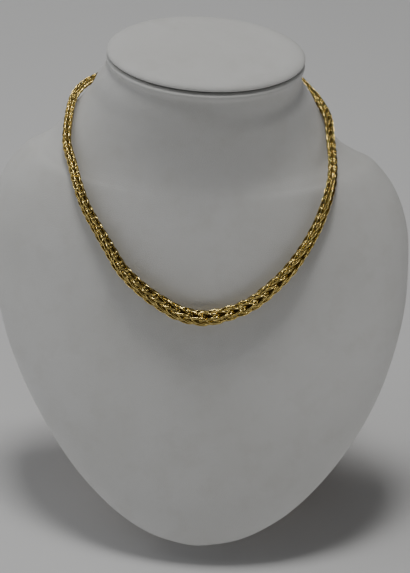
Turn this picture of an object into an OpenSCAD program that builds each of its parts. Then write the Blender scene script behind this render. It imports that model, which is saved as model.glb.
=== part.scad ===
// Wheat chain necklace on a covered neck bust.
// The bust faces -Y, X runs across it and Z is up. The origin lies under the
// middle of the whole piece, on the surface that it stands on.

/* [Neck bust] */
// Greatest width of the covered form
bust_w = 204; // [196:1:212]
// Height of the neck's top edge above the surface
bust_h = 226.5; // [220:0.5:233]
// Depth of the form from its front tip to the back of the neck
bust_d = 138.5; // [132:0.5:145]
// Wall of the chest at its middle
wall = 12; // [9:0.5:15]

/* [Padded top] */
// Width of the oval pad
pad_w = 92; // [86:1:96]
// Depth of the oval pad
pad_d = 74; // [68:1:78]
// Thickness of the pad at its edge
pad_t = 7; // [5:0.5:9]
// Rise of the pad's middle above its edge
pad_crown = 1.2; // [0:0.1:3]

/* [Stand] */
// Width of the base plate, across X
base_w = 96; // [80:1:110]
// Front to back size of the base plate
base_d = 104; // [90:1:112]
// Thickness of the base plate
base_t = 6; // [4:0.5:7]
// Corner radius of the base plate
base_r = 18; // [8:1:30]
// Thickness of the upright brace
brace_t = 12; // [8:1:18]

/* [Chain] */
// Thickness of the chain at the middle of the front
chain_front = 7.7; // [6:0.1:8.5]
// Thickness that the chain nears towards the clasp
chain_back = 3.5; // [3:0.1:4.2]
// Length along the chain, from the middle of the front, that takes half of the taper
taper_run = 68; // [50:1:90]

/* [Clasp] */
// Length of the barrel clasp with its two end cups
clasp_len = 16; // [12:0.5:16]
// Diameter of the clasp's end cups
clasp_cup = 4.6; // [4.2:0.1:5]
// Diameter of the clasp's barrel
clasp_barrel = 3.8; // [3.4:0.1:4.4]

/* [Hidden] */

leather = "Gainsboro";
timber = "Tan";
gold = "Gold";

// Clearance between pieces that lie against each other
gap = 0.3;

// Cross sections of the covered form, from the neck's top edge down to the tip of the chest.
// Columns: height, half width, front, side, back, edge, power, sway, bulge.
// Front, side and back are places along Y: side is where the section is widest.
// Edge is the thickness of the rim there, power the fullness of the front curve,
// sway how far the section stands to the side, and bulge how steeply the neck
// stands out of the back: 1 is a plain half oval, more leaves thin shoulder wings.
// The rows are written for a form of the drawn height, width and depth.
drawn_h = 226.5;
drawn_w = 204;
drawn_d = 138.5;
HEIGHT = 0;
HALF = 1;
FRONT = 2;
SIDE = 3;
BACK = 4;
EDGE = 5;
POWER = 6;
SWAY = 7;
BULGE = 8;
form_rows = [
    [226.5,  43.9,  -34.8,   0,  34.8, 2.0, 2.00, -0.3, 1.0],
    [226.0,  45.2,  -35.8,   0,  35.8, 2.0, 2.00, -0.6, 1.0],
    [224.0,  46.0,  -36.0,   0,  36.0, 2.0, 2.00, -1.0, 1.0],
    [217.0,  48.3,  -36.2,   1,  36.0, 2.0, 2.00, -3.0, 1.0],
    [209.0,  52.4,  -36.6,   3,  36.5, 2.0, 2.00, -5.2, 1.2],
    [201.0,  57.2,  -37.4,   5,  37.0, 2.0, 2.00, -6.3, 1.6],
    [193.0,  63.2,  -38.8,   4,  37.5, 3.0, 1.95, -6.8, 2.2],
    [185.5,  69.5,  -41.2,   1,  37.5, 4.0, 1.90, -6.8, 3.0],
    [181.0,  77.5,  -43.2,  -1,  37.0, 5.0, 1.85, -6.0, 3.4],
    [177.0,  85.5,  -45.2,  -3,  36.0, 6.0, 1.85, -5.3, 3.4],
    [165.5,  95.5,  -51.0,  -8,  30.0, 8.0, 1.90, -5.0, 3.0],
    [150.0, 101.0,  -58.6, -14,   6.0, 8.0, 2.00, -4.0, 2.4],
    [132.0, 102.0,  -66.6, -21, -34.0, 8.0, 2.00, -3.0, 1.0],
    [113.0, 100.8,  -74.6, -30, -58.6, 8.0, 2.00, -2.0, 1.0],
    [ 93.5,  96.0,  -82.2, -41, -69.2, 8.0, 2.00, -1.0, 1.0],
    [ 74.0,  87.6,  -89.0, -53, -76.6, 8.0, 2.00,  0.5, 1.0],
    [ 55.5,  76.0,  -94.4, -65, -82.4, 8.0, 2.00,  1.5, 1.0],
    [ 39.5,  62.5,  -98.4, -76, -86.4, 8.0, 2.00,  2.0, 1.0],
    [ 27.0,  49.0, -100.4, -84, -88.4, 7.5, 2.00,  2.5, 1.0],
    [ 18.5,  37.0, -101.0, -89, -89.0, 7.0, 2.00,  2.5, 1.0],
    [ 13.0,  25.0, -101.0, -93, -88.6, 6.5, 2.00,  2.5, 1.0],
    [ 10.5,  12.0, -100.4, -96, -89.4, 5.5, 2.00,  2.5, 1.0]
];
scale_h = bust_h / drawn_h;
scale_w = bust_w / drawn_w;
scale_d = bust_d / drawn_d;
row_scale = [scale_h, scale_w, scale_d, scale_d, scale_d, 1, 1, 1, 1];
row_steps = 2;
front_steps = 24;
back_steps = 14;
rim_inset = 0.75;

// A point on the smooth curve through b and c, with a and d beyond them
function curve_at(a, b, c, d, t) =
    (2 * b + (c - a) * t + (2 * a - 5 * b + 4 * c - d) * t * t
    + (3 * b - a - 3 * c + d) * t * t * t) / 2;

// The rows of a table made finer, with the curve carried straight on past both ends
function finer(rows, steps) =
    let (last = len(rows) - 1)
    [
        for (i = [0 : last - 1])
            let (
                before = i > 0 ? rows[i - 1] : 2 * rows[0] - rows[1],
                after = i < last - 1 ? rows[i + 2] : 2 * rows[last] - rows[last - 1]
            )
            for (k = [0 : steps - 1])
                curve_at(before, rows[i], rows[i + 1], after, k / steps),
        rows[last]
    ];

function scaled(row) = [for (i = [0 : len(row) - 1]) row[i] * row_scale[i]];

// A cosine or sine value drawn out to the fullness of a superellipse
function full(value, power) = sign(value) * pow(abs(value), 2 / power);

// The back's depth at the middle, held at least a wall behind the front
function inner_back(row) = max(row[BACK], row[FRONT] + wall);

// One closed outline: the front curve from left to right, then the back curve
function form_ring(row) =
    let (
        rim = row[SIDE] + row[EDGE],
        inner = row[HALF] - rim_inset * row[EDGE]
    )
    concat(
        [
            for (k = [0 : front_steps])
                let (a = 180 + 180 * k / front_steps)
                [
                    row[SWAY] + row[HALF] * full(cos(a), row[POWER]),
                    row[SIDE] + (row[FRONT] - row[SIDE]) * full(abs(sin(a)), row[POWER]),
                    row[HEIGHT]
                ]
        ],
        [
            for (k = [0 : back_steps])
                let (a = 180 * k / back_steps)
                [
                    row[SWAY] + inner * cos(a),
                    rim + (inner_back(row) - rim) * pow(abs(sin(a)), row[BULGE]),
                    row[HEIGHT]
                ]
        ]
    );

// Triangles that join equal rings into a skin, with a flat face at each end
function skin_faces(rings, sides) =
    concat(
        [
            for (i = [0 : rings - 2])
                for (j = [0 : sides - 1])
                    let (
                        a = i * sides + j,
                        b = i * sides + (j + 1) % sides
                    )
                    each [[a, b, b + sides], [a, b + sides, a + sides]]
        ],
        [[for (j = [0 : sides - 1]) sides - 1 - j]],
        [[for (j = [0 : sides - 1]) (rings - 1) * sides + j]]
    );

module skin(rings) {
    polyhedron(
        points = [for (ring = rings) each ring],
        faces = skin_faces(len(rings), len(rings[0])),
        convexity = 6
    );
}

form_fine = [for (row = finer(form_rows, row_steps)) scaled(row)];

// Round edge and low crown of the oval pad.
// Columns: share of the pad's thickness, how far the edge is drawn in.
pad_rows = [
    [0.00, 2.4],
    [0.08, 1.2],
    [0.22, 0.4],
    [0.42, 0.0],
    [0.62, 0.4],
    [0.80, 1.6],
    [0.93, 3.6],
    [1.00, 6.4]
];
pad_sides = 56;
// Shares of the pad's half width at which its crown has a ring
crown_shares = [0.66, 0.33, 0.06];
pad_gap = 0.4;
pad_z = bust_h + pad_gap;

// Route of the chain's middle line, from the clasp round the left side of the neck,
// down the left of the chest, through the lowest point and back up the right.
route = [
    [-12.5, 39, 210.5], [-24.5, 37.5, 210.5], [-36.5, 32, 209], [-47, 25.5, 207.5],
    [-55.5, 18.5, 205.5], [-62.5, 11, 204.5], [-66, 1.5, 202.5], [-67, -8.5, 197.5],
    [-66.5, -19, 190.5], [-63, -27.5, 185], [-59, -37, 179], [-54.5, -44, 171.5],
    [-48.5, -50, 164], [-42, -56, 156.5], [-35.5, -61, 148.5], [-26.5, -65.5, 142],
    [-17, -68.5, 136.5], [-7, -71, 132.5], [4.5, -71.5, 131], [16, -69.5, 133.5],
    [26, -66.5, 137.5], [35, -62, 144], [42.5, -57, 151], [49, -50.5, 159],
    [54, -43.5, 167], [57.5, -36.5, 175.5], [59.5, -27.5, 182], [59.5, -17.5, 186.5],
    [58, -7.5, 192], [56, 1, 199], [51, 8.5, 204], [46, 16, 205.5],
    [39, 23.5, 208], [30.5, 29.5, 209], [23, 34.5, 210], [13.5, 38, 210.5],
    [3.5, 39, 210.5]
];
route_last = len(route) - 1;
route_middle = 18;
chain_sides = 10;

// Length along the route up to each of its points
function run_to(i) = i == 0 ? 0 : run_to(i - 1) + norm(route[i] - route[i - 1]);
runs = [for (i = [0 : route_last]) run_to(i)];

// Thickness of the chain a given length away from the middle of the front
function chain_size(run) =
    chain_back + (chain_front - chain_back) / (1 + pow(run / taper_run, 2));

function unit(v) = v / norm(v);

// A ring of points square to the route, and upright so that the tube has no twist
function chain_ring(i) =
    let (
        along = unit(route[min(i + 1, route_last)] - route[max(i - 1, 0)]),
        across = unit(cross(along, [0, 0, 1])),
        lift = cross(across, along),
        r = chain_size(abs(runs[i] - runs[route_middle])) / 2
    )
    [
        for (k = [0 : chain_sides - 1])
            let (a = 360 * k / chain_sides)
            route[i] + r * (cos(a) * across + sin(a) * lift)
    ];

clasp_at = (route[0] + route[route_last]) / 2;
cup_len = 4.5;
cup_bevel = 0.6;

base_y = -10;
brace_back = 24;
brace_foot = -58;
brace_low = 27;
brace_gap = 1;

// The covered form: neck, shoulders and chest in one piece, hollow behind the chest
module bust_form() {
    color(leather)
    skin([for (row = form_fine) form_ring(row)]);
}

// The padded oval that closes the neck
module cap_pad() {
    edge = [
        for (row = pad_rows)
            [
                for (k = [0 : pad_sides - 1])
                    let (a = -360 * k / pad_sides)
                    [
                        (pad_w / 2 - row[1]) * cos(a),
                        (pad_d / 2 - row[1]) * sin(a),
                        pad_z + pad_t * row[0]
                    ]
            ]
    ];
    crown = [
        for (share = crown_shares)
            [
                for (k = [0 : pad_sides - 1])
                    let (a = -360 * k / pad_sides)
                    [
                        share * pad_w / 2 * cos(a),
                        share * pad_d / 2 * sin(a),
                        pad_z + pad_t + pad_crown * (1 - share * share)
                    ]
            ]
    ];
    color(leather)
    skin(concat(edge, crown));
}

// The upright board behind the chest, cut to the hollow's middle line
module back_brace() {
    hollow = [
        for (row = form_fine)
            if (row[HEIGHT] > brace_low && inner_back(row) + brace_gap < brace_back)
                [inner_back(row) + brace_gap, row[HEIGHT]]
    ];
    foot = base_t + gap;
    color(timber)
    translate([-brace_t / 2, 0, 0])
    rotate([90, 0, 90])
    linear_extrude(brace_t)
    polygon(concat(
        [[brace_back, hollow[0][1]]],
        hollow,
        [[brace_foot, foot], [brace_back, foot]]
    ));
}

// The plate that the bust stands on
module base_plate() {
    color(timber)
    translate([0, base_y, 0])
    linear_extrude(base_t)
    union() {
        square([base_w - 2 * base_r, base_d], center = true);
        square([base_w, base_d - 2 * base_r], center = true);
        for (x = [-1, 1])
            for (y = [-1, 1])
                translate([x * (base_w / 2 - base_r), y * (base_d / 2 - base_r)])
                circle(r = base_r, $fn = 48);
    }
}

// The graduated wheat chain as one round bundle of its outer size
module wheat_chain() {
    color(gold)
    skin([for (i = [0 : route_last]) chain_ring(i)]);
}

// The plain barrel clasp at the back of the neck
module clasp() {
    half = clasp_len / 2 - gap;
    cup = clasp_cup / 2;
    barrel = clasp_barrel / 2;
    color(gold)
    translate(clasp_at)
    rotate([0, 90, 0])
    rotate_extrude($fn = 48)
    polygon([
        [0, -half],
        [cup - cup_bevel, -half],
        [cup, cup_bevel - half],
        [cup, cup_len - half],
        [barrel, cup_len - half],
        [barrel, half - cup_len],
        [cup, half - cup_len],
        [cup, half - cup_bevel],
        [cup - cup_bevel, half],
        [0, half]
    ]);
}

bust_form();
cap_pad();
back_brace();
base_plate();
wheat_chain();
clasp();
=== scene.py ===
"""Looks of the wheat chain on its covered neck bust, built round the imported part."""

import logging
import math
import random
from dataclasses import dataclass, field
from enum import Enum
from typing import Any, Sequence

import bmesh
import bpy
from mathutils import Matrix, Vector


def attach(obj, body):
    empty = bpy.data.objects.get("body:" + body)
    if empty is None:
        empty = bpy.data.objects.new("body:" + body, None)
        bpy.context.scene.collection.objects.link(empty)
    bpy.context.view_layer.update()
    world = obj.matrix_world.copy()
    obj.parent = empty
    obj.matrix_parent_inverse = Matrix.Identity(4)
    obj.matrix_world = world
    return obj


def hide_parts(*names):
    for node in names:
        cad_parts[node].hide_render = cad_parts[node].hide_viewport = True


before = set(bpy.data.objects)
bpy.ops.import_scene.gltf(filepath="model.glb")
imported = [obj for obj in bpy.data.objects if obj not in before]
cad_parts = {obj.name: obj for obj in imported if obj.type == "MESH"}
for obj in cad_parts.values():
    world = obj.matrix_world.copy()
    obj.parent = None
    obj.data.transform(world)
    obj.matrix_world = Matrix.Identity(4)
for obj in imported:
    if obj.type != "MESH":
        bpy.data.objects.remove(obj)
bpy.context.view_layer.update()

logging.basicConfig(level=logging.INFO, format="%(message)s")
LOG = logging.getLogger("wheat_chain")

MM = 0.001
# points closer than this, in metres, become one
MERGE = 1e-7
BODY = "root"

Row = tuple[float, ...]
Pair = tuple[float, float]
Place = tuple[float, float, float]
Colour = tuple[float, float, float]
Stops = tuple[Pair, ...]


class Slot(Enum):
    """The record's material slots."""

    COVER = "cover"
    TIMBER = "timber"
    GOLD = "gold"


class Stretch(Enum):
    """The two halves of the chain, told apart from the viewer's side."""

    LEFT = "left"
    RIGHT = "right"


class Signal:
    """One output of a shader node, with the arithmetic written as operators."""

    def __init__(self, graph: "Graph", socket: bpy.types.NodeSocket) -> None:
        """Keeps the graph and the socket."""
        self.graph = graph
        self.socket = socket

    def _math(self, operation: str, other: "Signal | float", swap: bool = False) -> "Signal":
        """Adds a Math node.

        Args:
            operation: the Math node's operation.
            other: the second value.
            swap: whether the two values change places.

        Returns:
            The node's output.
        """
        first, second = (other, self) if swap else (self, other)
        return self.graph.add("ShaderNodeMath", {"operation": operation}, {0: first, 1: second})

    def __add__(self, other: "Signal | float") -> "Signal":
        """Sum."""
        return self._math("ADD", other)

    def __radd__(self, other: float) -> "Signal":
        """Sum with a number in front."""
        return self._math("ADD", other, True)

    def __sub__(self, other: "Signal | float") -> "Signal":
        """Difference."""
        return self._math("SUBTRACT", other)

    def __rsub__(self, other: float) -> "Signal":
        """Difference with a number in front."""
        return self._math("SUBTRACT", other, True)

    def __mul__(self, other: "Signal | float") -> "Signal":
        """Product."""
        return self._math("MULTIPLY", other)

    def __rmul__(self, other: float) -> "Signal":
        """Product with a number in front."""
        return self._math("MULTIPLY", other, True)


@dataclass(frozen=True)
class Noise:
    """Soft noise: how fine it is, how many octaves it has and how strong the fine ones are."""

    scale: float
    detail: float = 3.0
    rough: float = 0.5


class Graph:
    """A material's nodes."""

    def __init__(self, name: str) -> None:
        """Makes a material with a Principled shader and its output.

        Args:
            name: the material's name.
        """
        self.material = bpy.data.materials.new(name)
        self.material.use_nodes = True
        self.tree = self.material.node_tree
        self.tree.nodes.clear()
        self.shader = self._node("ShaderNodeBsdfPrincipled", {}, {})
        output = self._node("ShaderNodeOutputMaterial", {}, {})
        self.tree.links.new(self.shader.outputs["BSDF"], output.inputs["Surface"])

    def _node(self, kind: str, settings: dict[str, Any], inputs: dict[Any, Any]) -> bpy.types.Node:
        """Makes a node.

        Args:
            kind: the node's type.
            settings: the node's own settings, set first. "stops" fills a colour ramp.
            inputs: values or links, by socket name or number.

        Returns:
            The node.
        """
        node = self.tree.nodes.new(kind)
        for key, value in settings.items():
            if key == "stops":
                self._fill_ramp(node.color_ramp, value)
            else:
                setattr(node, key, value)
        for key, value in inputs.items():
            self._feed(node.inputs[key], value)
        return node

    @staticmethod
    def _fill_ramp(ramp: bpy.types.ColorRamp, stops: Stops) -> None:
        """Sets a ramp's stops.

        Args:
            ramp: the ramp, which has two stops.
            stops: the place and the grey of each stop.
        """
        while len(ramp.elements) < len(stops):
            ramp.elements.new(0.5)
        for element, (place, grey) in zip(ramp.elements, stops):
            element.position = place
            element.color = (grey, grey, grey, 1.0)

    def _feed(self, socket: bpy.types.NodeSocket, value: Any) -> None:
        """Links a signal to a socket, or sets the socket's own value.

        Args:
            socket: the socket.
            value: a signal, a number, a vector or a colour without its alpha.
        """
        if isinstance(value, Signal):
            self.tree.links.new(value.socket, socket)
        elif socket.type == "RGBA":
            socket.default_value = (*value, 1.0)
        else:
            socket.default_value = value

    def add(
        self,
        kind: str,
        settings: dict[str, Any] | None = None,
        inputs: dict[Any, Any] | None = None,
        out: int | str = 0,
    ) -> Signal:
        """Adds any node.

        Args:
            kind: the node's type.
            settings: the node's own settings, set first. "stops" fills a colour ramp.
            inputs: values or links, by socket name or number.
            out: the output that is handed back.

        Returns:
            The chosen output.
        """
        return Signal(self, self._node(kind, settings or {}, inputs or {}).outputs[out])

    def set(self, **inputs: Any) -> None:
        """Feeds the Principled shader: an underscore in a name stands for a space."""
        for key, value in inputs.items():
            self._feed(self.shader.inputs[key.replace("_", " ")], value)

    def place(self) -> Signal:
        """The point on the object, in metres."""
        return self.add("ShaderNodeTexCoord", out="Object")

    def stretched(self, point: Signal, scale: Place) -> Signal:
        """The point with each axis scaled."""
        return self.add("ShaderNodeVectorMath", {"operation": "MULTIPLY"}, {0: point, 1: scale})

    def noise(self, point: Signal, noise: Noise) -> Signal:
        """Soft noise from 0 to 1."""
        inputs = {"Vector": point, "Scale": noise.scale, "Detail": noise.detail, "Roughness": noise.rough}
        return self.add("ShaderNodeTexNoise", {}, inputs)

    def cells(self, point: Signal, scale: float) -> Signal:
        """Distance to the edge of small cells, as in pebbled leather."""
        feature = {"feature": "DISTANCE_TO_EDGE"}
        return self.add("ShaderNodeTexVoronoi", feature, {"Vector": point, "Scale": scale})

    def ramp(self, value: Signal, stops: Stops) -> Signal:
        """The value passed through a grey ramp."""
        return self.add("ShaderNodeValToRGB", {"stops": stops}, {0: value})

    def tint(self, share: Signal, first: "Signal | Colour", second: "Signal | Colour") -> Signal:
        """Mixes two colours.

        Args:
            share: how much of the second.
            first: the first colour.
            second: the second colour.

        Returns:
            The mixed colour.
        """
        # the Mix node's colour sockets follow those for numbers and vectors
        return self.add("ShaderNodeMix", {"data_type": "RGBA"}, {0: share, 6: first, 7: second}, 2)

    def bump(
        self, height: Signal, depth: float, strength: float = 1.0, under: Signal | None = None
    ) -> Signal:
        """Adds a Bump node.

        Args:
            height: the height, 0 to 1.
            depth: the height of 1 in metres.
            strength: the node's strength.
            under: a bump that this one adds to.

        Returns:
            The normal.
        """
        inputs: dict[str, Any] = {"Height": height, "Distance": depth, "Strength": strength}
        if under is not None:
            inputs["Normal"] = under
        return self.add("ShaderNodeBump", {}, inputs)


@dataclass(frozen=True)
class CoverFinish:
    """Pale leatherette, matt and finely pebbled, with faint marks of handling."""

    name: str = "pale_leatherette"
    pale: Colour = (0.60, 0.60, 0.592)
    shade: Colour = (0.55, 0.548, 0.532)
    handled: Colour = (0.50, 0.492, 0.465)
    cloud: Noise = Noise(16.0, 4.0, 0.55)
    cloud_stops: Stops = ((0.35, 0.0), (0.7, 1.0))
    mottle: Noise = Noise(70.0, 5.0, 0.6)
    mottle_stops: Stops = ((0.5, 0.0), (0.8, 0.55))
    fleck: Noise = Noise(420.0, 2.0)
    fleck_stops: Stops = ((0.62, 0.0), (0.78, 1.0))
    fleck_share: float = 0.05
    crease: Noise = Noise(26.0, 2.0, 0.4)
    crease_depth: float = 0.00022
    pebble: float = 1500.0
    pebble_stops: Stops = ((0.0, 0.0), (0.16, 1.0))
    pebble_depth: float = 0.00005
    rough: float = 0.52
    mottle_polish: float = 0.08
    cloud_dull: float = 0.05
    shine: float = 0.38
    nap: float = 0.06

    def build(self) -> bpy.types.Material:
        """Makes the material.

        Returns:
            The material.
        """
        g = Graph(self.name)
        point = g.place()
        cloud = g.noise(point, self.cloud)
        mottle = g.noise(point, self.mottle)
        fleck = g.ramp(g.noise(point, self.fleck), self.fleck_stops)
        colour = g.tint(g.ramp(cloud, self.cloud_stops), self.pale, self.shade)
        colour = g.tint(g.ramp(mottle, self.mottle_stops), colour, self.handled)
        colour = g.tint(fleck * self.fleck_share, colour, self.handled)
        creases = g.bump(g.noise(point, self.crease), self.crease_depth)
        pebbles = g.ramp(g.cells(point, self.pebble), self.pebble_stops)
        g.set(
            Base_Color=colour,
            Roughness=self.rough - self.mottle_polish * mottle + self.cloud_dull * cloud,
            Normal=g.bump(pebbles, self.pebble_depth, under=creases),
            Specular_IOR_Level=self.shine,
            Sheen_Weight=self.nap,
        )
        return g.material


@dataclass(frozen=True)
class GoldFinish:
    """Polished yellow gold with the faint marks of drawing and wear."""

    name: str = "yellow_gold"
    bright: Colour = (0.66, 0.515, 0.19)
    deep: Colour = (0.50, 0.37, 0.11)
    rough: float = 0.14
    patch: Noise = Noise(380.0)
    patch_stops: Stops = ((0.3, 0.0), (0.75, 1.0))
    scratch: Noise = Noise(2600.0, 3.0, 0.6)
    scratch_stretch: Place = (1.0, 0.35, 1.0)
    scratch_stops: Stops = ((0.45, 0.0), (0.8, 1.0))
    scratch_dull: float = 0.14
    scratch_depth: float = 0.00001
    scratch_strength: float = 0.5

    def build(self) -> bpy.types.Material:
        """Makes the material.

        Returns:
            The material.
        """
        g = Graph(self.name)
        point = g.place()
        patches = g.noise(point, self.patch)
        scratches = g.noise(g.stretched(point, self.scratch_stretch), self.scratch)
        worn = self.scratch_dull * g.ramp(scratches, self.scratch_stops) * patches
        g.set(
            Base_Color=g.tint(g.ramp(patches, self.patch_stops), self.bright, self.deep),
            Metallic=1.0,
            Roughness=self.rough + worn,
            Normal=g.bump(scratches, self.scratch_depth, self.scratch_strength),
        )
        return g.material


@dataclass(frozen=True)
class TimberFinish:
    """Plain sealed board, with its grain along the axis that is scaled down."""

    name: str
    stretch: Place
    pale: Colour = (0.52, 0.38, 0.235)
    dark: Colour = (0.33, 0.21, 0.115)
    grain: Noise = Noise(130.0, 5.0, 0.6)
    grain_stops: Stops = ((0.35, 0.0), (0.5, 0.65), (0.68, 1.0))
    pore: Noise = Noise(900.0, 3.0, 0.6)
    pore_stops: Stops = ((0.58, 0.0), (0.75, 0.5))
    pore_height: float = 0.5
    pore_dull: float = 0.2
    rough: float = 0.42
    depth: float = 0.0001
    strength: float = 0.6

    def build(self) -> bpy.types.Material:
        """Makes the material.

        Returns:
            The material.
        """
        g = Graph(self.name)
        point = g.stretched(g.place(), self.stretch)
        grain = g.noise(point, self.grain)
        pores = g.noise(point, self.pore)
        colour = g.tint(g.ramp(grain, self.grain_stops), self.pale, self.dark)
        g.set(
            Base_Color=g.tint(g.ramp(pores, self.pore_stops), colour, self.dark),
            Roughness=self.rough + self.pore_dull * pores,
            Normal=g.bump(grain + self.pore_height * pores, self.depth, self.strength),
        )
        return g.material


@dataclass(frozen=True)
class FloorFinish:
    """Pale matt paper."""

    name: str = "pale_paper"
    pale: Colour = (0.62, 0.622, 0.625)
    shade: Colour = (0.58, 0.582, 0.587)
    cloud: Noise = Noise(6.0, 4.0)
    fibre: Noise = Noise(900.0, 2.0)
    fibre_depth: float = 0.00005
    fibre_strength: float = 0.4
    rough: float = 0.85

    def build(self) -> bpy.types.Material:
        """Makes the material.

        Returns:
            The material.
        """
        g = Graph(self.name)
        point = g.place()
        g.set(
            Base_Color=g.tint(g.noise(point, self.cloud), self.pale, self.shade),
            Roughness=self.rough,
            Normal=g.bump(g.noise(point, self.fibre), self.fibre_depth, self.fibre_strength),
        )
        return g.material


POLISHED_GOLD = GoldFinish()
# near-black gold for the chain's core: painted shade, where the wires hide the light
PAINTED_SHADE_GOLD = GoldFinish(
    name="painted_shade_gold", bright=(0.13, 0.085, 0.022), deep=(0.07, 0.042, 0.009), rough=0.5
)
UPRIGHT_BOARD = TimberFinish(name="sealed_board", stretch=(1.0, 1.0, 0.08))
LEVEL_BOARD = TimberFinish(name="sealed_board_level", stretch=(1.0, 0.08, 1.0))


def curve_at(quad: Sequence[Sequence[float]], t: float) -> Row:
    """A point on the smooth curve through the middle two of four entries.

    Args:
        quad: four entries of a table, one after another.
        t: how far from the second to the third, 0 to 1.

    Returns:
        The entry there.
    """
    return tuple(
        (2 * b + (c - a) * t + (2 * a - 5 * b + 4 * c - d) * t * t + (3 * b - a - 3 * c + d) * t ** 3) / 2
        for a, b, c, d in zip(*quad)
    )


def finer(rows: Sequence[Sequence[float]], steps: int) -> list[Row]:
    """Puts more entries between those of a table.

    Args:
        rows: the table.
        steps: how many entries each stretch becomes.

    Returns:
        The finer table.
    """
    before = [2 * p - q for p, q in zip(rows[0], rows[1])]
    after = [2 * p - q for p, q in zip(rows[-1], rows[-2])]
    padded = [before, *rows, after]
    out = [
        curve_at(padded[i : i + 4], k / steps)
        for i in range(len(rows) - 1)
        for k in range(steps)
    ]
    return [*out, tuple(rows[-1])]


def smooth_step(x: float, low: float, high: float) -> float:
    """0 below low, 1 above high and smooth between."""
    t = min(max((x - low) / (high - low), 0.0), 1.0)
    return t * t * (3 - 2 * t)


def turn_angles(count: int) -> list[float]:
    """The angles of a whole turn in equal steps, in radians."""
    return [2 * math.pi * k / count for k in range(count)]


def finish_mesh(bm: bmesh.types.BMesh, name: str, material: bpy.types.Material) -> bpy.types.Object:
    """Turns a bmesh into a smooth object with one material.

    Args:
        bm: the mesh being built, which is freed.
        name: the object's name.
        material: its material.

    Returns:
        The new object.
    """
    bmesh.ops.remove_doubles(bm, verts=bm.verts, dist=MERGE)
    bmesh.ops.recalc_face_normals(bm, faces=bm.faces)
    mesh = bpy.data.meshes.new(name)
    bm.to_mesh(mesh)
    bm.free()
    for polygon in mesh.polygons:
        polygon.use_smooth = True
    mesh.materials.append(material)
    piece = bpy.data.objects.new(name, mesh)
    bpy.context.scene.collection.objects.link(piece)
    return piece


def join_rings(
    bm: bmesh.types.BMesh, low: Sequence[bmesh.types.BMVert], high: Sequence[bmesh.types.BMVert]
) -> None:
    """Joins two closed rings of equal length with a band of faces.

    Args:
        bm: the mesh to add to.
        low: the first ring's corners.
        high: the second ring's corners.
    """
    for j in range(len(low)):
        k = (j + 1) % len(low)
        bm.faces.new((low[j], low[k], high[k], high[j]))


def loft(bm: bmesh.types.BMesh, rings: Sequence[Sequence[Vector]]) -> None:
    """Joins closed rings of equal length into a skin, closed with a fan at both ends.

    Args:
        bm: the mesh to add to.
        rings: the rings, one after another.
    """
    verts = [[bm.verts.new(p) for p in ring] for ring in rings]
    for low, high in zip(verts, verts[1:]):
        join_rings(bm, low, high)
    sides = len(rings[0])
    for ring, points in ((verts[0], rings[0]), (verts[-1], rings[-1])):
        middle = bm.verts.new(sum(points, Vector()) / sides)
        for j in range(sides):
            bm.faces.new((ring[j], ring[(j + 1) % sides], middle))


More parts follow.
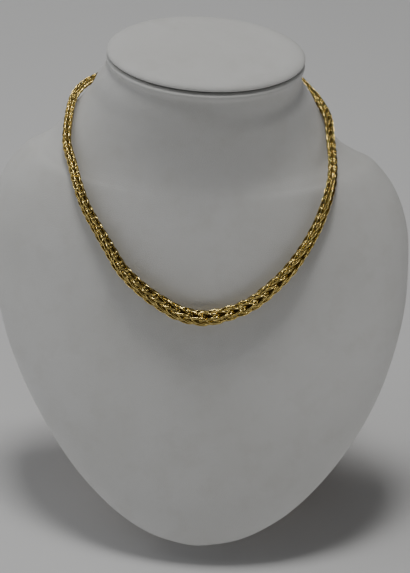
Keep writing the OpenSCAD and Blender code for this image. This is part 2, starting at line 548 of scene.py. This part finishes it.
@dataclass
class NeckBust:
    """The covered form, its padded top and the stand behind it, in millimetres."""

    cover: bpy.types.Material
    upright: bpy.types.Material
    level: bpy.types.Material
    # height, half width, front, side, back, edge, power, sway and bulge
    rows: Sequence[Row] = (
        (228.8, 42.8, -30.3, 0, 31.3, 2.0, 2.00, -2.4, 1.0),
        (229.4, 44.8, -32.2, 0, 33.1, 2.0, 2.00, -2.4, 1.0),
        (229.3, 45.4, -32.9, 0, 33.7, 2.0, 2.00, -2.4, 1.0),
        (228.8, 45.8, -33.5, 0, 34.2, 2.0, 2.00, -2.4, 1.0),
        (228.0, 45.9, -34.0, 0, 34.8, 2.0, 2.00, -2.5, 1.0),
        (225.0, 45.8, -34.0, 0, 35.0, 2.0, 2.00, -2.7, 1.0),
        (217.0, 48.2, -35.4, 1, 35.9, 2.0, 2.00, -5.2, 1.0),
        (209.0, 52.7, -36.6, 3, 36.5, 2.0, 2.00, -4.9, 1.2),
        (201.0, 57.5, -37.4, 5, 37.0, 2.0, 2.00, -6.0, 1.6),
        (193.0, 63.2, -38.8, 4, 37.5, 3.0, 1.95, -6.8, 2.2),
        (185.5, 69.5, -41.2, 1, 37.5, 4.0, 1.90, -6.8, 3.0),
        (181.0, 77.5, -43.2, -1, 37.0, 5.0, 1.85, -6.0, 3.4),
        (177.0, 85.5, -45.2, -3, 36.0, 6.0, 1.85, -5.3, 3.4),
        (165.5, 95.5, -51.0, -8, 30.0, 8.0, 1.90, -5.0, 3.0),
        (150.0, 101.0, -58.6, -14, 6.0, 8.0, 2.00, -4.0, 2.4),
        (132.0, 102.0, -66.6, -21, -34.0, 8.0, 2.00, -3.0, 1.0),
        (113.0, 100.8, -74.6, -30, -58.6, 8.0, 2.00, -2.0, 1.0),
        (93.5, 96.0, -82.2, -41, -69.2, 8.0, 2.00, -1.0, 1.0),
        (74.0, 87.6, -89.0, -53, -76.6, 8.0, 2.00, 0.5, 1.0),
        (55.5, 76.0, -94.4, -65, -82.4, 8.0, 2.00, 1.5, 1.0),
        (39.5, 62.5, -98.4, -76, -86.4, 8.0, 2.00, 2.0, 1.0),
        (27.0, 49.0, -100.4, -84, -88.4, 7.5, 2.00, 2.5, 1.0),
        (18.5, 37.0, -101.0, -89, -89.0, 7.0, 2.00, 2.5, 1.0),
        (13.0, 25.0, -101.0, -93, -88.6, 6.5, 2.00, 2.5, 1.0),
        (10.5, 12.0, -100.4, -96, -89.4, 5.5, 2.00, 2.5, 1.0),
    )
    row_steps: int = 7
    front_steps: int = 110
    rim_steps: int = 7
    back_steps: int = 50
    # least depth of the form at its middle, from its front to its back
    wall: float = 12.0
    # heights between which the chest's rounded rim runs out into the neck's plain oval
    neck_root: Pair = (190.0, 203.0)
    # how far the rim leads inwards, as a share of the edge
    rim_inset: float = 0.75
    # the lip that stands out round the foot of the pad
    lip_height: float = 227.5
    lip_reach: float = 1.7
    lip_proud: float = 0.6
    # the top leans down to the right: its slope, and the heights between which it sets in
    top_slope: float = 0.025
    slope_between: Pair = (209.0, 226.0)
    # the rings that round off the lower tip: share of the ring before, and drop
    tip_rings: Sequence[Pair] = ((0.7, 0.66), (0.35, 1.08))
    pad_half: Pair = (46.4, 34.1)
    pad_middle: Pair = (-2.4, 0.6)
    pad_bottom: float = 228.9
    pad_thick: float = 4.95
    pad_crown: float = 1.0
    pad_sides: int = 160
    pad_steps: int = 2
    crown_rings: int = 9
    # share of the pad's thickness, how far the edge is drawn in
    pad_edge: Sequence[Pair] = (
        (0.00, 7.0), (0.00, 4.8), (0.02, 3.9), (0.07, 2.8), (0.14, 1.8), (0.23, 0.9), (0.33, 0.25),
        (0.43, 0.0), (0.54, 0.2), (0.65, 0.7), (0.75, 1.5), (0.84, 2.7), (0.91, 4.2), (0.96, 6.0),
        (0.99, 8.2), (1.00, 10.5),
    )
    # height, number round the pad and start of the slight waves in its padding
    pad_waves: Sequence[tuple[float, int, float]] = ((0.05, 3, 0.7), (0.03, 7, 0.0))
    # the boards' edges: width, steps and least angle that is eased
    eased_width: float = 0.7
    eased_steps: int = 3
    eased_angle: float = 40.0

    def slope(self, x: float) -> float:
        """How far the top lies lower at a place across it."""
        return self.top_slope * (x - self.pad_middle[0])

    def ring(self, row: Row) -> list[Vector]:
        """One closed outline of the form.

        Args:
            row: the entry of the table.

        Returns:
            The outline's points, front first, in metres.
        """
        height, half, front, side, back, edge, power, sway, bulge = row
        proud = self.lip_proud * math.exp(-(((height - self.lip_height) / self.lip_reach) ** 2))
        half, front, back = half + proud, front - proud, back + proud * (back > 0)
        wing = 1 - smooth_step(height, *self.neck_root)
        inset = self.rim_inset * edge * wing
        rim = side + edge * wing
        deep = max(back, front + self.wall)
        front_half = []
        for a in (math.pi * k / self.front_steps for k in range(self.front_steps)):
            x = -math.copysign(abs(math.cos(a)) ** (2 / power), math.cos(a))
            front_half.append((half * x, side + (front - side) * math.sin(a) ** (2 / power)))
        right_rim = [
            (half - inset * (1 - math.cos(a)), side + (rim - side) * math.sin(a))
            for a in (math.pi / 2 * k / self.rim_steps for k in range(self.rim_steps))
        ]
        back_half = [
            ((half - inset) * math.cos(a), rim + (deep - rim) * abs(math.sin(a)) ** bulge)
            for a in (math.pi * k / self.back_steps for k in range(self.back_steps + 1))
        ]
        left_rim = [(-x, y) for x, y in reversed(right_rim[1:])]
        lean = smooth_step(height, *self.slope_between)
        return [
            Vector((sway + x, y, height - lean * self.slope(sway + x))) * MM
            for x, y in (*front_half, *right_rim, *back_half, *left_rim)
        ]

    def form(self) -> bpy.types.Object:
        """Builds the covered form.

        Returns:
            The form.
        """
        rings = [self.ring(row) for row in finer(self.rows, self.row_steps)]
        middle = sum(rings[-1], Vector()) / len(rings[-1])
        for share, drop in self.tip_rings:
            shift = Vector((0, 0, -drop * MM))
            rings.append([middle + (p - middle) * share + shift for p in rings[-1]])
        bm = bmesh.new()
        loft(bm, rings)
        piece = finish_mesh(bm, "covered_form", self.cover)
        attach(piece, BODY)
        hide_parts("bust_form")
        return piece

    def pad(self) -> bpy.types.Object:
        """Builds the padded oval top.

        Returns:
            The pad.
        """
        top = self.pad_bottom + self.pad_thick
        edge = finer(self.pad_edge, self.pad_steps)
        rings = [self.oval(1.0, inset, self.pad_bottom + self.pad_thick * share) for share, inset in edge]
        inner = edge[-1][1]
        for step in range(1, self.crown_rings):
            share = 1 - step / self.crown_rings
            rings.append(self.oval(share, inner * share, top + self.pad_crown * (1 - share * share)))
        bm = bmesh.new()
        loft(bm, rings)
        piece = finish_mesh(bm, "padded_top", self.cover)
        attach(piece, BODY)
        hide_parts("cap_pad")
        return piece

    def oval(self, share: float, inset: float, height: float) -> list[Vector]:
        """One outline of the pad.

        Args:
            share: its share of the full size.
            inset: how far it is drawn in.
            height: its height at the pad's middle.

        Returns:
            The outline's points, in metres.
        """
        points = []
        for a in turn_angles(self.pad_sides):
            soft = sum(rise * math.sin(count * a + start) for rise, count, start in self.pad_waves)
            x = self.pad_middle[0] + (self.pad_half[0] * share - inset) * math.cos(a)
            y = self.pad_middle[1] + (self.pad_half[1] * share - inset) * math.sin(a)
            points.append(Vector((x, y, height + soft * share - self.slope(x))) * MM)
        return points

    def stand(self) -> None:
        """Finishes the brace and the plate that the source gives."""
        for node, board in (("back_brace", self.upright), ("base_plate", self.level)):
            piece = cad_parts[node]
            piece.data.materials.clear()
            piece.data.materials.append(board)
            edge = piece.modifiers.new("eased_edges", "BEVEL")
            edge.width, edge.segments = self.eased_width * MM, self.eased_steps
            edge.limit_method, edge.angle_limit = "ANGLE", math.radians(self.eased_angle)
            edge.harden_normals = True
            LOG.info("%s carries its board finish", node)

    def build(self) -> None:
        """Builds the whole bust."""
        for piece in (self.form(), self.pad()):
            LOG.info("%s has %d faces", piece.name, len(piece.data.polygons))
        self.stand()


@dataclass(frozen=True)
class Station:
    """A place on the chain's middle line, in millimetres."""

    at: Vector
    across: Vector
    lift: Vector
    size: float
    run: float

    def point(self, angle: float, radius: float) -> Vector:
        """A point round the middle line.

        Args:
            angle: the angle from across towards lift, in degrees.
            radius: the distance from the line.

        Returns:
            The point.
        """
        a = math.radians(angle)
        return self.at + radius * (math.cos(a) * self.across + math.sin(a) * self.lift)


@dataclass
class WheatChain:
    """The graduated chain: folded double wire links nested like ears of wheat, in millimetres."""

    gold: bpy.types.Material
    # near-black gold for the core: painted shade between the wires
    painted_shade: bpy.types.Material
    # the source's route, from the clasp round the left, the front and the right
    route: Sequence[Row] = (
        (-12.5, 39, 210.5), (-24.5, 37.5, 210.5), (-36.5, 32, 209), (-47, 25.5, 207.5),
        (-55.5, 18.5, 205.5), (-62.5, 11, 204.5), (-66, 1.5, 202.5), (-67, -8.5, 197.5),
        (-66.5, -19, 190.5), (-63, -27.5, 185), (-59, -37, 179), (-54.5, -44, 171.5),
        (-48.5, -50, 164), (-42, -56, 156.5), (-35.5, -61, 148.5), (-26.5, -65.5, 142),
        (-17, -68.5, 136.5), (-7, -71, 132.5), (4.5, -71.5, 131), (16, -69.5, 133.5),
        (26, -66.5, 137.5), (35, -62, 144), (42.5, -57, 151), (49, -50.5, 159),
        (54, -43.5, 167), (57.5, -36.5, 175.5), (59.5, -27.5, 182), (59.5, -17.5, 186.5),
        (58, -7.5, 192), (56, 1, 199), (51, 8.5, 204), (46, 16, 205.5),
        (39, 23.5, 208), (30.5, 29.5, 209), (23, 34.5, 210), (13.5, 38, 210.5),
        (3.5, 39, 210.5),
    )
    # the route's point at the middle of the front, and the steps between two points
    middle: int = 18
    fine: int = 24
    # how many of those steps a direction is taken over, behind and ahead
    heading: tuple[int, int] = (2, 3)
    # thickness at the front, thickness that it tapers to, length of half the taper
    front_size: float = 7.7
    back_size: float = 3.5
    taper_run: float = 68.0
    # run from the middle of the front, turn of the fold line in degrees
    rolls: Sequence[Pair] = (
        (-215, 116), (-155, 106), (-130, 100), (-85, 96), (-47, 89), (-20, 68), (0, 52),
        (20, 34), (50, 24), (85, 20), (112, 4), (135, -8), (215, -10),
    )
    # how much of the turn between two of these is eased; the rest is even
    roll_ease: float = 0.35
    folds: int = 4
    # the pitch of one fold line's links, in thicknesses of the chain
    pitch_share: float = 0.85
    # in pitches: place of the first link, and how much later every other fold line starts
    first_link: float = 0.7
    stagger: float = 0.5
    # how far the last link stays from the chain's end
    end_gap: float = 0.3
    # in pitches: a leg's length, half the way between its two wires, length of its round ear
    leg_share: float = 1.358
    pair_gap: float = 0.168
    ear_round: float = 0.16
    # in degrees round the chain: half the fold's opening, room beside an ear, the ear's bulge
    fold_turn: float = 1.5
    ear_gap: float = 1.0
    ear_bulge: float = 3.0
    # the wire's share of the thickness and the power by which a leg opens, each at the front
    # and in the thin links, and the runs between which they change
    wire_share: Pair = (0.116, 0.110)
    spread: Pair = (0.93, 0.86)
    open_from: Pair = (25.0, 95.0)
    # depth in wire thicknesses of the leading wire, the fold, the ear, a leg's ends, the ear's turn
    tuck: float = 0.5
    fold_dip: float = 2.4
    ear_dip: float = 0.9
    leg_bow: float = 0.30
    ear_sink: float = 0.35
    # shares of a leg at which the fold's dip ends and the ear's begins
    fold_end: float = 0.33
    ear_start: float = 0.74
    # in wire thicknesses: a wire's least distance from the middle line, depth of the near-black core that
    # paints the shade between the wires
    least_reach: float = 0.6
    inside_depth: float = 2.3
    # unevenness of each link, in degrees and in wire thicknesses
    lean_play: Pair = (-1.2, 1.2)
    sink_play: Pair = (-0.05, 0.07)
    seed: int = 11
    wire_sides: int = 8
    leg_steps: int = 8
    turn_steps: int = 3
    inside_step: float = 1.2
    inside_sides: int = 10
    line: list[Vector] = field(init=False)
    runs: list[float] = field(init=False)
    zero: float = field(init=False)

    def __post_init__(self) -> None:
        """Works out the smooth middle line and the length along it."""
        self.line = [Vector(p) for p in finer(self.route, self.fine)]
        self.runs = [0.0]
        for a, b in zip(self.line, self.line[1:]):
            self.runs.append(self.runs[-1] + (b - a).length)
        self.zero = self.runs[self.middle * self.fine]

    def size(self, run: float) -> float:
        """The chain's thickness at a length from the middle of the front."""
        return self.back_size + (self.front_size - self.back_size) / (1 + (run / self.taper_run) ** 2)

    def station(self, run: float) -> Station:
        """The place at a length along the chain.

        Args:
            run: the length from the chain's first end.

        Returns:
            The place there.
        """
        last = len(self.runs) - 1
        run = min(max(run, 0.0), self.runs[-1])
        low, high = 0, last
        while high - low > 1:
            half = (low + high) // 2
            low, high = (half, high) if self.runs[half] <= run else (low, half)
        share = (run - self.runs[low]) / (self.runs[high] - self.runs[low])
        behind, ahead = self.heading
        along = (self.line[min(low + ahead, last)] - self.line[max(low - behind, 0)]).normalized()
        across = along.cross(Vector((0, 0, 1))).normalized()
        at = self.line[low].lerp(self.line[high], share)
        run -= self.zero
        return Station(at, across, across.cross(along), self.size(run), run)

    def roll(self, run: float) -> float:
        """The turn of the fold line.

        Args:
            run: the length from the middle of the front.

        Returns:
            The turn in degrees.
        """
        for (a, turn_a), (b, turn_b) in zip(self.rolls, self.rolls[1:]):
            if run <= b:
                even = min(max((run - a) / (b - a), 0), 1)
                share = self.roll_ease * smooth_step(run, a, b) + (1 - self.roll_ease) * even
                return turn_a + (turn_b - turn_a) * share
        return self.rolls[-1][1]

    def eased(self, place: Station, pair: Pair) -> float:
        """A proportion at the front, eased into that of the thinner links."""
        share = smooth_step(abs(place.run), *self.open_from)
        return pair[0] + (pair[1] - pair[0]) * share

    def wire(self, place: Station) -> float:
        """The wire's thickness at a place."""
        return self.eased(place, self.wire_share) * place.size

    def half_fold(self) -> float:
        """Half the angle between two fold lines, in degrees."""
        return 180 / self.folds

    def on_skin(self, run: float, turn: float, dip: float) -> Vector:
        """A wire's middle on the chain's round outside.

        Args:
            run: the length from the chain's first end.
            turn: the angle from the fold line, in degrees.
            dip: how far it lies under the outside, in wire thicknesses.

        Returns:
            The point, in metres.
        """
        place = self.station(run)
        wire = self.wire(place)
        radius = place.size / 2 - wire * (0.5 + dip)
        return place.point(self.roll(place.run) + turn, max(radius, wire * self.least_reach)) * MM

    def leg_dip(self, t: float) -> float:
        """How far a leg lies under the outside.

        Args:
            t: the share of the leg, from the fold at 0 to the ear at 1.

        Returns:
            The depth in wire thicknesses.
        """
        fold = max(0.0, 1 - t / self.fold_end)
        ear = max(0.0, (t - self.ear_start) / (1 - self.ear_start))
        bow = self.leg_bow * (1 - math.sin(math.pi * t))
        return self.fold_dip * fold * fold + self.ear_dip * ear * ear + bow

    def add_wire(self, bm: bmesh.types.BMesh, path: Sequence[Vector], radius: float) -> None:
        """Adds a closed round wire.

        Args:
            bm: the mesh to add to.
            path: the wire's middle line, closed, in metres.
            radius: the wire's radius, in metres.
        """
        count = len(path)
        tangents = [(path[(i + 1) % count] - path[i - 1]).normalized() for i in range(count)]
        normal = tangents[0].orthogonal().normalized()
        normals = []
        for tangent in tangents:
            normal = (normal - tangent * normal.dot(tangent)).normalized()
            normals.append(normal)
        closing = (normal - tangents[0] * normal.dot(tangents[0])).normalized()
        twist = math.atan2(tangents[0].dot(normals[0].cross(closing)), normals[0].dot(closing))
        angles = turn_angles(self.wire_sides)
        rings = []
        for i, (point, tangent, normal) in enumerate(zip(path, tangents, normals)):
            # the twist left over at the closing ring is shared out along the wire
            normal = Matrix.Rotation(-twist * i / count, 3, tangent) @ normal
            side = tangent.cross(normal)
            around = [radius * (math.cos(a) * normal + math.sin(a) * side) for a in angles]
            rings.append([bm.verts.new(point + offset) for offset in around])
        for low, high in zip(rings, [*rings[1:], rings[0]]):
            join_rings(bm, low, high)

    def add_inside(self, bm: bmesh.types.BMesh, start: float, end: float) -> None:
        """Adds a near-black core where the folds cross: painted shade between the wires.

        Args:
            bm: the mesh to add to.
            start: the length at which it starts.
            end: the length at which it ends.
        """
        steps = int((end - start) / self.inside_step)
        rings = []
        for i in range(steps + 1):
            place = self.station(start + (end - start) * i / steps)
            radius = place.size / 2 - self.wire(place) * self.inside_depth
            sides = self.inside_sides
            rings.append([place.point(360 / sides * k, radius) * MM for k in range(sides)])
        loft(bm, rings)

    def beats(self) -> list[tuple[float, int]]:
        """Where the links lie.

        Returns:
            The length at each link's point and its fold line.
        """
        out = []
        for fold in range(self.folds):
            run = self.size(self.zero) * self.pitch_share * (self.first_link + self.stagger * (fold % 2))
            while run < self.runs[-1] - self.end_gap:
                out.append((run, fold))
                run += self.pitch_share * self.station(run).size
        return sorted(out)

    def link(self, run: float, fold: int, jitter: random.Random) -> "Link":
        """Lays out one link.

        Args:
            run: the length at the fold's point.
            fold: which of the fold lines it lies on.
            jitter: the source of its small unevenness.

        Returns:
            The link.
        """
        place = self.station(run)
        return Link(
            chain=self,
            run=run,
            base=360 / self.folds * fold,
            pitch=self.pitch_share * place.size,
            spread=self.eased(place, self.spread),
            lean=jitter.uniform(*self.lean_play),
            sink=jitter.uniform(*self.sink_play),
        )

    def build(self) -> None:
        """Builds both halves of the chain."""
        jitter = random.Random(self.seed)
        beats = self.beats()
        for stretch in Stretch:
            left = stretch is Stretch.LEFT
            own = [(run, fold) for run, fold in beats if (run < self.zero) == left]
            bm = bmesh.new()
            for run, fold in own:
                radius = self.wire(self.station(run)) / 2 * MM
                self.add_wire(bm, self.link(run, fold, jitter).path(), radius)
            self.settle(finish_mesh(bm, f"wheat_links_{stretch.value}", self.gold))
            LOG.info("the %s half has %d links", stretch.value, len(own))
            # the near-black core of this half: painted shade between the wires
            bm = bmesh.new()
            self.add_inside(bm, 0.0 if left else self.zero, self.zero if left else self.runs[-1])
            self.settle(finish_mesh(bm, f"wheat_painted_shade_{stretch.value}", self.painted_shade))

    @staticmethod
    def settle(piece: bpy.types.Object) -> None:
        """Puts a finished piece in its place in the assembly.

        Args:
            piece: the piece.
        """
        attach(piece, BODY)
        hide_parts("wheat_chain")
        LOG.info("%s has %d faces", piece.name, len(piece.data.polygons))


@dataclass(frozen=True)
class Link:
    """One link: a closed wire drawn out to a double strand and folded at its middle."""

    chain: WheatChain
    run: float
    base: float
    pitch: float
    spread: float
    lean: float
    sink: float

    def leg(self, side: int, lead: int) -> list[Vector]:
        """One wire of one leg, from the fold to the ear.

        Args:
            side: -1 for the left leg, 1 for the right.
            lead: 1 for the leading wire, -1 for the one that follows.

        Returns:
            The wire's points, in metres.
        """
        chain = self.chain
        widening = chain.half_fold() - chain.ear_gap - chain.fold_turn
        points = []
        for t in (k / chain.leg_steps for k in range(chain.leg_steps + 1)):
            run = self.run + self.pitch * (lead * chain.pair_gap - chain.leg_share * t)
            turn = side * (chain.fold_turn + widening * t ** self.spread) + self.lean
            dip = chain.leg_dip(t) + self.sink + chain.tuck * (lead > 0)
            points.append(chain.on_skin(run, self.base + turn, dip))
        return points

    def ear(self, side: int) -> list[Vector]:
        """The round turn that joins a leg's two wires.

        Args:
            side: -1 for the left leg, 1 for the right.

        Returns:
            The turn's points from the leading wire to the other, in metres.
        """
        chain = self.chain
        points = []
        for k in range(1, chain.turn_steps + 1):
            a = math.pi * k / (chain.turn_steps + 1)
            back = chain.leg_share - chain.pair_gap * math.cos(a) + chain.ear_round * math.sin(a)
            turn = side * (chain.half_fold() - chain.ear_gap + chain.ear_bulge * math.sin(a)) + self.lean
            dip = chain.leg_dip(1.0) + chain.ear_sink * math.sin(a) + self.sink
            dip += chain.tuck * (1 + math.cos(a)) / 2
            points.append(chain.on_skin(self.run - self.pitch * back, self.base + turn, dip))
        return points

    def path(self) -> list[Vector]:
        """The link's closed middle line.

        Returns:
            The line's points, in metres.
        """
        leading, following = 1, -1
        return [
            *reversed(self.leg(-1, leading)),
            *self.leg(1, leading)[1:],
            *self.ear(1),
            *reversed(self.leg(1, following)),
            *self.leg(-1, following)[1:],
            *reversed(self.ear(-1)),
        ]


@dataclass
class BarrelClasp:
    """The plain barrel clasp at the back of the neck, in millimetres."""

    gold: bpy.types.Material
    at: Place = (-4.5, 39.0, 210.5)
    sides: int = 40
    # distance along the clasp from its middle, radius: two fine grooves, then the end cup
    half_profile: Sequence[Pair] = (
        (1.8, 1.9), (1.9, 1.82), (2.0, 1.9), (2.4, 1.9), (2.5, 1.82), (2.6, 1.9), (3.0, 1.9),
        (3.15, 1.86), (3.2, 2.0), (3.35, 2.22), (3.7, 2.3), (6.3, 2.3), (6.9, 2.25), (7.35, 2.05),
        (7.65, 1.6), (7.7, 0.9),
    )

    def build(self) -> None:
        """Turns the profile into the clasp."""
        centre = Vector(self.at)
        mirrored = [(-x, radius) for x, radius in reversed(self.half_profile)]
        angles = turn_angles(self.sides)
        bm = bmesh.new()
        loft(bm, [
            [(centre + Vector((x, radius * math.cos(a), radius * math.sin(a)))) * MM for a in angles]
            for x, radius in (*mirrored, *self.half_profile)
        ])
        piece = finish_mesh(bm, "barrel_clasp", self.gold)
        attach(piece, BODY)
        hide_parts("clasp")
        LOG.info("%s has %d faces", piece.name, len(piece.data.polygons))


@dataclass(frozen=True)
class Lamp:
    """A flat soft lamp: its place, its size in metres and its power in watts."""

    name: str
    place: Place
    size: Pair
    power: float
    colour: Colour


@dataclass
class Studio:
    """The floor, the lights and the camera, in metres."""

    floor: bpy.types.Material
    floor_half: float = 14.0
    # the picture's width and the camera's focal length in pixels, the film's width in millimetres
    width_px: int = 410
    focal_px: float = 1745.0
    sensor: float = 36.0
    # the camera stands to the right of straight ahead and above, in degrees
    azimuth: float = 5.0
    elevation: float = 37.0
    roll: float = -0.5
    distance: float = 0.850
    target: Place = (0.0012, -0.035, 0.122)
    seen_depth: Pair = (0.05, 20.0)
    lamp_aim: Place = (0.0, -0.03, 0.12)
    room_colour: Colour = (0.80, 0.82, 0.85)
    room_strength: float = 0.06
    lamps: Sequence[Lamp] = (
        Lamp("ceiling_over", (-0.04, 0.16, 1.60), (0.40, 0.28), 12.5, (1.0, 0.99, 0.965)),
        Lamp("ceiling_left", (-0.95, 0.25, 1.20), (1.3, 0.9), 5.0, (0.985, 0.995, 1.0)),
        Lamp("low_left", (-0.46, -0.30, 0.11), (0.5, 0.10), 0.54, (0.99, 0.995, 1.0)),
        Lamp("low_right", (0.46, -0.30, 0.11), (0.5, 0.10), 0.57, (1.0, 0.99, 0.975)),
        Lamp("low_front", (0.0, -0.46, 0.10), (0.7, 0.06), 0.10, (1.0, 0.995, 0.985)),
    )

    def place_camera(self) -> None:
        """Puts the camera at the photograph's viewing angle."""
        a, e = math.radians(self.azimuth), math.radians(self.elevation)
        back = Vector((math.sin(a) * math.cos(e), -math.cos(a) * math.cos(e), math.sin(e)))
        data = bpy.data.cameras.new("camera")
        data.sensor_fit = "HORIZONTAL"
        data.sensor_width = self.sensor
        data.lens = self.sensor * self.focal_px / self.width_px
        data.clip_start, data.clip_end = self.seen_depth
        camera = bpy.data.objects.new("camera", data)
        place = Matrix.Translation(Vector(self.target) + back * self.distance)
        turn = (-back).to_track_quat("-Z", "Y").to_matrix().to_4x4()
        camera.matrix_world = place @ turn @ Matrix.Rotation(math.radians(-self.roll), 4, "Z")
        bpy.context.scene.collection.objects.link(camera)
        bpy.context.scene.camera = camera

    def lay_floor(self) -> None:
        """Lays the pale floor."""
        bm = bmesh.new()
        half = self.floor_half
        corners = ((-half, -half), (half, -half), (half, half), (-half, half))
        bm.faces.new([bm.verts.new((x, y, 0)) for x, y in corners])
        finish_mesh(bm, "floor", self.floor)

    def light(self) -> None:
        """Hangs the soft lamps and sets the room's own light."""
        for lamp in self.lamps:
            data = bpy.data.lights.new(lamp.name, "AREA")
            data.shape = "RECTANGLE"
            data.size, data.size_y = lamp.size
            data.energy, data.color = lamp.power, lamp.colour
            hung = bpy.data.objects.new(lamp.name, data)
            hung.location = lamp.place
            aim = Vector(self.lamp_aim) - Vector(lamp.place)
            hung.rotation_euler = aim.to_track_quat("-Z", "Y").to_euler()
            bpy.context.scene.collection.objects.link(hung)
        world = bpy.data.worlds.new("soft_room")
        world.use_nodes = True
        room = world.node_tree.nodes["Background"].inputs
        room["Color"].default_value = (*self.room_colour, 1)
        room["Strength"].default_value = self.room_strength
        bpy.context.scene.world = world

    def build(self) -> None:
        """Sets up the whole studio."""
        self.place_camera()
        self.lay_floor()
        self.light()
        LOG.info("studio is ready")


def main() -> None:
    """Builds every piece in order."""
    gold = POLISHED_GOLD.build()
    Studio(FloorFinish().build()).build()
    level = LEVEL_BOARD.build()
    NeckBust(CoverFinish().build(), UPRIGHT_BOARD.build(), level).build()
    WheatChain(gold, PAINTED_SHADE_GOLD.build()).build()
    BarrelClasp(gold).build()
    bpy.context.view_layer.update()
    LOG.info("sizes written")


if __name__ == "__main__":
    main()
